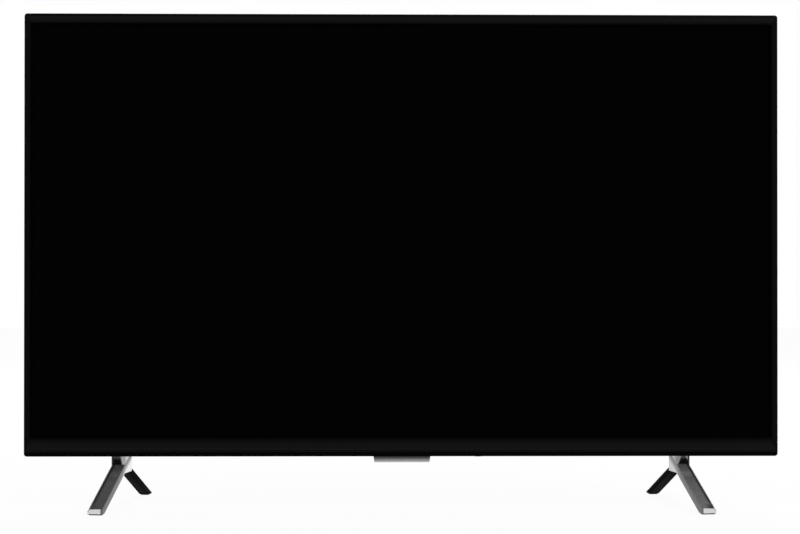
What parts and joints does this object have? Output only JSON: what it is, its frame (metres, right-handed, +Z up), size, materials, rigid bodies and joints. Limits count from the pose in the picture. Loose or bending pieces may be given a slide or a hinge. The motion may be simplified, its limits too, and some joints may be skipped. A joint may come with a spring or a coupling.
{
  "type": "flat screen television",
  "caption": "Flat screen television with a slim dark bezel, deeper chin and hanging sensor window, on two inverted-V metal feet, with its display stack, boards, speakers and sockets.",
  "frame": {"origin": "on the table, midway between the noses and heels of the feet and midway across the set", "axes": "+X to the viewer's right, +Y from the screen to the back, +Z up"},
  "size_m": [0.733, 0.187, 0.482],
  "materials": {
    "gloss_black": "satin black moulding",
    "screen": "black anti-glare panel",
    "frame_black": "black moulding",
    "film_clear": "translucent film",
    "film_white": "white film",
    "diffuser": "milky plate",
    "reflector": "white sheet",
    "led_board": "white solder mask",
    "led_yellow": "phosphor",
    "lens_clear": "clear moulding",
    "pan_steel": "zinc-coated sheet",
    "board_green": "solder mask",
    "flex_amber": "polyimide film",
    "zinc": "zinc plated",
    "chip_black": "moulded package",
    "heatsink": "black anodised",
    "socket_metal": "plated shell",
    "socket_black": "black moulding",
    "socket_brass": "nickel on brass",
    "plunger_red": "red moulding",
    "board_brown": "paper laminate",
    "ferrite": "ferrite and tape",
    "can_blue": "sleeved can",
    "copper": "enamelled copper",
    "sheet_cream": "insulating sheet",
    "cable_grey": "flat cable",
    "cable_yellow": "bundled leads",
    "wire_black": "insulated wire",
    "module_blue": "solder mask",
    "window_grey": "smoky clear moulding",
    "button_black": "fine texture",
    "box_black": "moulded box",
    "basket_steel": "pressed steel",
    "cone_paper": "coated paper",
    "soft_black": "soft rubber",
    "foam": "closed-cell foam",
    "cover_black": "fine spark texture",
    "screw_black": "blackened steel",
    "bush_brass": "bright",
    "leg_metal": "gunmetal lacquer",
    "strut_black": "satin black"
  },
  "bodies": {
    "set": {"front_bezel": "gloss_black", "lcd_panel": "screen", "middle_frame": "frame_black", "prism_film": "film_clear", "diffuser_film": "film_white", "diffuser_plate": "diffuser", "reflector_sheet": "reflector", "led_strips": "led_board", "led_chips": "led_yellow", "led_lenses": "lens_clear", "back_pan": "pan_steel", "panel_board": "board_green", "panel_films": "flex_amber", "board_standoffs": "zinc", "board_screws": "zinc", "main_board": "board_green", "main_board_chips": "chip_black", "soc_heatsink": "heatsink", "hdmi_sockets": "socket_metal", "usb_socket": "socket_metal", "headphone_socket": "socket_black", "antenna_socket": "socket_brass", "optical_socket": "socket_black", "av_sockets": "socket_metal", "reset_switch": "socket_black", "power_board": "board_brown", "transformer": "ferrite", "power_board_parts": "can_blue", "filter_choke": "copper", "mains_inlet": "socket_black", "insulator_sheet": "sheet_cream", "ribbon_cable": "cable_grey", "supply_harness": "cable_yellow", "speaker_wires": "wire_black", "wireless_module": "module_blue", "sensor_window": "window_grey", "sensor_board": "board_green", "power_switch": "socket_black", "button_board": "board_green", "left_speaker_box": "box_black", "right_speaker_box": "box_black", "left_driver_frame": "basket_steel", "right_driver_frame": "basket_steel", "left_surround": "soft_black", "right_surround": "soft_black", "speaker_gaskets": "foam", "speaker_mounts": "soft_black", "rear_cover": "cover_black", "cover_screws": "screw_black", "wall_mount_bushes": "bush_brass", "stand_brackets": "pan_steel", "left_leg": "leg_metal", "right_leg": "leg_metal", "rear_struts": "strut_black", "foot_pads": "soft_black", "stand_screws": "zinc"},
    "button": {"power_button": "button_black"},
    "reset": {"reset_plunger": "plunger_red"},
    "left_cone_body": {"left_cone": "cone_paper"},
    "right_cone_body": {"right_cone": "cone_paper"}
  },
  "joints": [
    {"name": "power_press", "type": "slide", "parent": "set", "child": "button", "axis": [0, 0, 1], "range_m": [0, 0.0008], "stiffness_N_per_m": 400, "springref_m": -0.0008},
    {"name": "reset_press", "type": "slide", "parent": "set", "child": "reset", "axis": [-1, 0, 0], "range_m": [0, 0.0004], "stiffness_N_per_m": 400, "springref_m": -0.0004},
    {"name": "left_cone_travel", "type": "slide", "parent": "set", "child": "left_cone_body", "axis": [0, 0, 1], "range_m": [-0.001, 0.001], "stiffness_N_per_m": 600, "deforming": ["left_surround"]},
    {"name": "right_cone_travel", "type": "slide", "parent": "set", "child": "right_cone_body", "axis": [0, 0, 1], "range_m": [-0.001, 0.001], "stiffness_N_per_m": 600, "deforming": ["right_surround"]}
  ]
}
